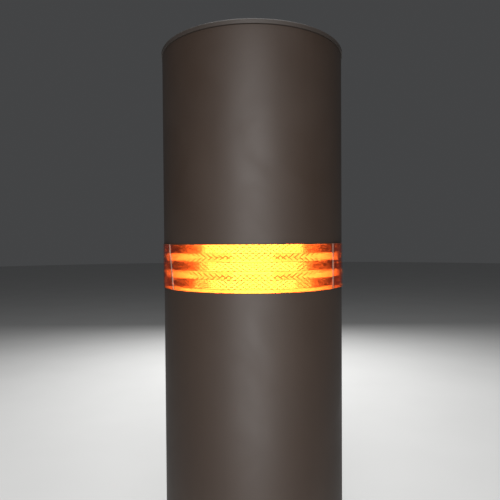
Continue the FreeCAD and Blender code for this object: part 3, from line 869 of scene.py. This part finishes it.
class MARKER_OT_tube(Operator):
    """Finish the tube in satin extruded plastic"""

    bl_idname = "marker.tube"
    bl_label = "Tube"

    def execute(self, context):
        colour = context.scene.marker_finish.tube_colour
        paint_node("post_tube", plastic_finish("tube_plastic", colour, 0.60, 0.07, 0.035, 0.12, 0.5))
        return {"FINISHED"}


class MARKER_OT_cap(Operator):
    """Finish the cap in grained plastic, and its o-ring in rubber"""

    bl_idname = "marker.cap"
    bl_label = "Cap"

    def execute(self, context):
        finish = context.scene.marker_finish
        plastic = plastic_finish("cap_plastic", finish.cap_colour, 0.5, 0.1, 0.0, 0.5, 0.0)
        paint_node("top_cap", plastic)
        paint_node("cap_o_ring", rubber_finish("ring_rubber"))
        return {"FINISHED"}


class MARKER_OT_base(Operator):
    """Round and finish the socket, its pad and its sleeves"""

    bl_idname = "marker.base"
    bl_label = "Base"

    def execute(self, context):
        finish = context.scene.marker_finish
        plastic = plastic_finish("socket_plastic", finish.base_colour, 0.52, 0.12, 0.0, 0.6, 0.55)
        rubber = rubber_finish("pad_rubber")
        steel = metal_finish("zinc_plate", (0.66, 0.67, 0.69), (0.42, 0.43, 0.45), 0.32)
        rounded_copy("base_socket", "socket_moulding", finish.moulded_edge, plastic, "base_plastic")
        rounded_copy("ground_pad", "ground_pad_moulding", finish.moulded_edge, rubber, "pad_rubber")
        paint_node("tube_seat", rubber)
        for node in sorted(frame["nodes"]):
            if node.startswith("anchor_ferrule"):
                rounded_copy(node, f"{node}_sleeve", finish.metal_edge, steel, "zinc_steel")
        return {"FINISHED"}


class MARKER_OT_clamps(Operator):
    """Make the clamp screws: threaded studs, lobed knobs, flanged inserts and pads"""

    bl_idname = "marker.clamps"
    bl_label = "Clamps"

    def execute(self, context):
        finish = context.scene.marker_finish
        plastic = plastic_finish("knob_plastic", finish.knob_colour, 0.36, 0.1, 0.0, 0.35, 0.1)
        rubber = rubber_finish("clamp_rubber")
        steel = metal_finish("stud_zinc", (0.66, 0.67, 0.69), (0.42, 0.43, 0.45), 0.28)
        brass = metal_finish("turned_brass", (0.80, 0.58, 0.25), (0.48, 0.33, 0.14), 0.26)
        for joint in frame["joints"]:
            if not joint["name"].endswith("_turn"):
                continue
            number = joint["name"].split("_")[1]
            stud = f"clamp_stud_{number}"
            knob = f"clamp_knob_{number}"
            add_piece(f"threaded_{stud}", stud_mesh(joint, stud, finish), steel,
                      body_of(stud), "zinc_steel", stud)
            grip = add_piece(f"lobed_{knob}", knob_mesh(joint, knob, finish), plastic,
                             body_of(knob), "knob_plastic", knob)
            smoothing = grip.modifiers.new("smooth lobes", "SUBSURF")
            smoothing.levels = 1
            smoothing.render_levels = 1
            rounded_copy(f"clamp_insert_{number}", f"flanged_clamp_insert_{number}", finish.metal_edge,
                         brass, "insert_brass")
            rounded_copy(f"clamp_pad_{number}", f"moulded_clamp_pad_{number}", finish.metal_edge,
                         rubber, "pad_rubber")
        return {"FINISHED"}


def clamp_frame(joint):
    """The matrix of a clamp screw: +Z runs out along the screw, from the tube's axis."""
    axis = Vector(joint["axis"])
    turn = math.atan2(axis.y, axis.x)
    level = Matrix.Translation((0, 0, joint["pos_m"][2]))
    return level @ Matrix.Rotation(turn, 4, "Z") @ Matrix.Rotation(math.pi / 2, 4, "Y")


def reach_along(joint, node):
    """How near and how far a node's points lie from the tube's axis, along a clamp screw."""
    axis = Vector(joint["axis"])
    reach = [axis.dot(vertex.co) for vertex in frame["nodes"][node].data.vertices]
    return min(reach), max(reach)


def width_across(joint, node):
    """The largest radius of a node about its clamp screw."""
    back = clamp_frame(joint).inverted()
    return max((back @ vertex.co).xy.length for vertex in frame["nodes"][node].data.vertices)


def stud_mesh(joint, node, finish):
    """A stud with a cut thread, a plain tip and bevelled ends."""
    start, end = reach_along(joint, node)
    radius = width_across(joint, node)
    pitch = finish.thread_pitch
    depth = THREAD_DEPTH_SHARE * pitch
    tip_radius = STUD_TIP_SHARE * radius
    thread_start = start + STUD_TIP
    # Radius, distance from the tube's axis, and whether the thread is cut there.
    rings = [
        (0.8 * tip_radius, start, False),
        (tip_radius, start + STUD_TIP_CHAMFER, False),
        (tip_radius, thread_start, False),
    ]
    count = int((end - thread_start) / pitch * THREAD_LEVELS)
    for level in range(count + 1):
        rings.append((radius, thread_start + level * pitch / THREAD_LEVELS, True))
    rings.append((radius - depth, end, False))
    place = clamp_frame(joint)
    rows = []
    for reach, height, threaded in rings:
        row = []
        for step in range(THREAD_CORNERS):
            angle = 2 * math.pi * step / THREAD_CORNERS
            phase = ((height - thread_start) / pitch - step / THREAD_CORNERS) % 1.0
            cut = depth * (1 - abs(2 * phase - 1)) if threaded else 0
            ease = min(1.0, (height - thread_start) / pitch, (end - height) / pitch) if threaded else 0
            width = min(reach, radius - depth * (1 - ease)) - cut * ease
            row.append(place @ Vector((width * math.cos(angle), width * math.sin(angle), height)))
        rows.append(row)
    mesh = rings_mesh(node, rows)
    mesh.shade_smooth()
    mesh.set_sharp_from_angle(angle=THREAD_CORNER)
    return mesh


def knob_mesh(joint, node, finish):
    """A lobed knob: finger hollows round a domed grip on a round neck."""
    start, end = reach_along(joint, node)
    radius = width_across(joint, node)
    length = end - start
    hollow = HOLLOW_SHARE * radius
    hollow_centre = HOLLOW_PLACE_SHARE * radius
    # Share of the knob's length, share of its radius and share of the hollows' depth.
    profile = [
        (0.0, 0.20, 0), (0.0, 0.42, 0), (0.01, 0.50, 0), (0.155, 0.50, 0), (0.163, 0.54, 0.2),
        (0.166, 0.84, 0.9), (0.20, 0.96, 1), (0.27, 1.0, 1), (0.55, 1.0, 1), (0.76, 1.0, 1),
        (0.87, 0.95, 1), (0.945, 0.82, 0.9), (0.975, 0.62, 0.4), (0.985, 0.46, 0), (0.96, 0.40, 0),
        (0.955, 0.20, 0),
    ]
    place = clamp_frame(joint)
    rows = []
    for along, share, dip in profile:
        row = []
        for step in range(finish.knob_steps):
            angle = 2 * math.pi * step / finish.knob_steps
            off = (angle + math.pi / KNOB_LOBES) % (2 * math.pi / KNOB_LOBES) - math.pi / KNOB_LOBES
            reach = radius
            if abs(hollow_centre * math.sin(off)) < hollow:
                cut = math.sqrt(hollow ** 2 - (hollow_centre * math.sin(off)) ** 2)
                reach = min(radius, hollow_centre * math.cos(off) - cut)
            width = share * (radius - (radius - reach) * dip)
            height = start + along * length
            row.append(place @ Vector((width * math.cos(angle), width * math.sin(angle), height)))
        rows.append(row)
    mesh = rings_mesh(node, rows)
    mesh.shade_smooth()
    return mesh


class MARKER_OT_stage(Operator):
    """Set up the floor, the lights and the camera"""

    bl_idname = "marker.stage"
    bl_label = "Stage"

    def execute(self, context):
        stage = context.scene.marker_stage
        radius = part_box("post_tube")[1].x
        band_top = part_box("front_band_film")[1].z
        eye = Vector((0, -stage.distance * radius, band_top + stage.eye_height * radius))
        add_floor(paper_finish("studio_paper"))
        add_camera(stage, eye)
        add_lamp("flash_round_lens", eye, Vector((0, 0, eye.z)), 2 * stage.flash_radius,
                 stage.flash_power, "DISK")
        for name, rise in (("upper_front_softbox", 0.15), ("lower_front_softbox", -0.26)):
            place = eye + Vector((0, 0, rise))
            add_lamp(name, place, Vector((0, 0, place.z)), 0.24, stage.front_power, "DISK")
        add_lamp("overhead_softbox", Vector((0, 0, 3.0)), Vector((0, 0, 0)), 1.8,
                 stage.overhead_power, "SQUARE")
        add_lamp("rear_softbox", Vector((0, 2.5, 1.6)), Vector((0, 0, 0.4)), 0.8, stage.rear_power, "SQUARE")
        world = bpy.data.worlds.new("studio_air")
        world.use_nodes = True
        air = world.node_tree.nodes["Background"]
        air.inputs["Color"].default_value = (0.95, 0.97, 1.0, 1)
        air.inputs["Strength"].default_value = stage.ambient
        context.scene.world = world
        context.scene.view_settings.view_transform = "Standard"
        return {"FINISHED"}


def add_camera(stage, eye):
    data = bpy.data.cameras.new("marker_camera")
    data.lens = stage.lens
    camera = bpy.data.objects.new("marker_camera", data)
    bpy.context.scene.collection.objects.link(camera)
    look = Matrix.Rotation(stage.yaw, 4, "Z") @ Matrix.Rotation(math.pi / 2 - stage.pitch, 4, "X")
    camera.matrix_world = Matrix.Translation(eye) @ look @ Matrix.Rotation(-stage.roll, 4, "Z")
    bpy.context.scene.camera = camera


def add_lamp(name, place, target, size, power, shape):
    """A soft area light that the camera doesn't see."""
    data = bpy.data.lights.new(name, "AREA")
    data.shape = shape
    data.size = size
    data.energy = power
    lamp = bpy.data.objects.new(name, data)
    bpy.context.scene.collection.objects.link(lamp)
    lamp.location = place
    lamp.rotation_euler = (target - place).to_track_quat("-Z", "Y").to_euler()
    lamp.visible_camera = False
    return lamp


def paper_finish(name):
    """Pale matt studio paper."""
    material, tree = new_material(name)
    nodes = tree.nodes
    place = nodes.new("ShaderNodeTexCoord")
    place.label = "Place on the paper"
    fibre = nodes.new("ShaderNodeTexNoise")
    fibre.label = "Paper clouds"
    fibre.inputs["Scale"].default_value = 3.0
    shades = nodes.new("ShaderNodeValToRGB")
    shades.label = "Paper shades"
    shades.color_ramp.elements[0].color = (0.70, 0.70, 0.69, 1)
    shades.color_ramp.elements[1].color = (0.76, 0.76, 0.75, 1)
    shader = nodes.new("ShaderNodeBsdfPrincipled")
    shader.label = "Paper"
    shader.inputs["Roughness"].default_value = 0.9
    shader.inputs["Specular IOR Level"].default_value = 0.2
    output = nodes.new("ShaderNodeOutputMaterial")
    output.label = "Finish"
    tree.links.new(place.outputs["Object"], fibre.inputs["Vector"])
    tree.links.new(fibre.outputs["Fac"], shades.inputs["Fac"])
    tree.links.new(shades.outputs["Color"], shader.inputs["Base Color"])
    tree.links.new(shader.outputs["BSDF"], output.inputs["Surface"])
    arrange(tree, [("Place", [place]), ("Paper", [fibre, shades]), ("Surface", [shader, output])])
    return material


def add_floor(material):
    """A wide round sheet of paper on the ground."""
    shape = bmesh.new()
    bmesh.ops.create_circle(shape, cap_ends=True, radius=14.0, segments=96)
    mesh = bpy.data.meshes.new("paper_floor")
    shape.to_mesh(mesh)
    shape.free()
    mesh.materials.append(material)
    floor = bpy.data.objects.new("paper_floor", mesh)
    bpy.context.scene.collection.objects.link(floor)


class MARKER_PT_panel(Panel):
    """Everything that makes up the marker"""

    bl_idname = "MARKER_PT_panel"
    bl_label = "Snow Marker"
    bl_space_type = "VIEW_3D"
    bl_region_type = "UI"
    bl_category = "Snow Marker"

    def draw(self, context):
        for title, settings in SETTINGS.items():
            box = self.layout.box()
            box.label(text=title)
            group = getattr(context.scene, settings[0])
            for name in settings[1].__annotations__:
                box.prop(group, name)
        for operator in OPERATORS:
            self.layout.operator(operator.bl_idname)


SETTINGS = {
    "Tape": ("marker_tape", MARKER_PG_tape),
    "Finish": ("marker_finish", MARKER_PG_finish),
    "Stage": ("marker_stage", MARKER_PG_stage),
}
OPERATORS = (
    MARKER_OT_stage, MARKER_OT_tube, MARKER_OT_tape, MARKER_OT_cap, MARKER_OT_base, MARKER_OT_clamps,
)


def register():
    for name, group in SETTINGS.values():
        bpy.utils.register_class(group)
        setattr(bpy.types.Scene, name, PointerProperty(type=group))
    for operator in OPERATORS:
        bpy.utils.register_class(operator)
    bpy.utils.register_class(MARKER_PT_panel)


def unregister():
    bpy.utils.unregister_class(MARKER_PT_panel)
    for operator in reversed(OPERATORS):
        bpy.utils.unregister_class(operator)
    for name, group in SETTINGS.values():
        delattr(bpy.types.Scene, name)
        bpy.utils.unregister_class(group)


def main():
    register()
    bpy.ops.marker.stage()
    bpy.ops.marker.tube()
    bpy.ops.marker.tape()
    bpy.ops.marker.cap()
    bpy.ops.marker.base()
    bpy.ops.marker.clamps()


if __name__ == "__main__":
    main()
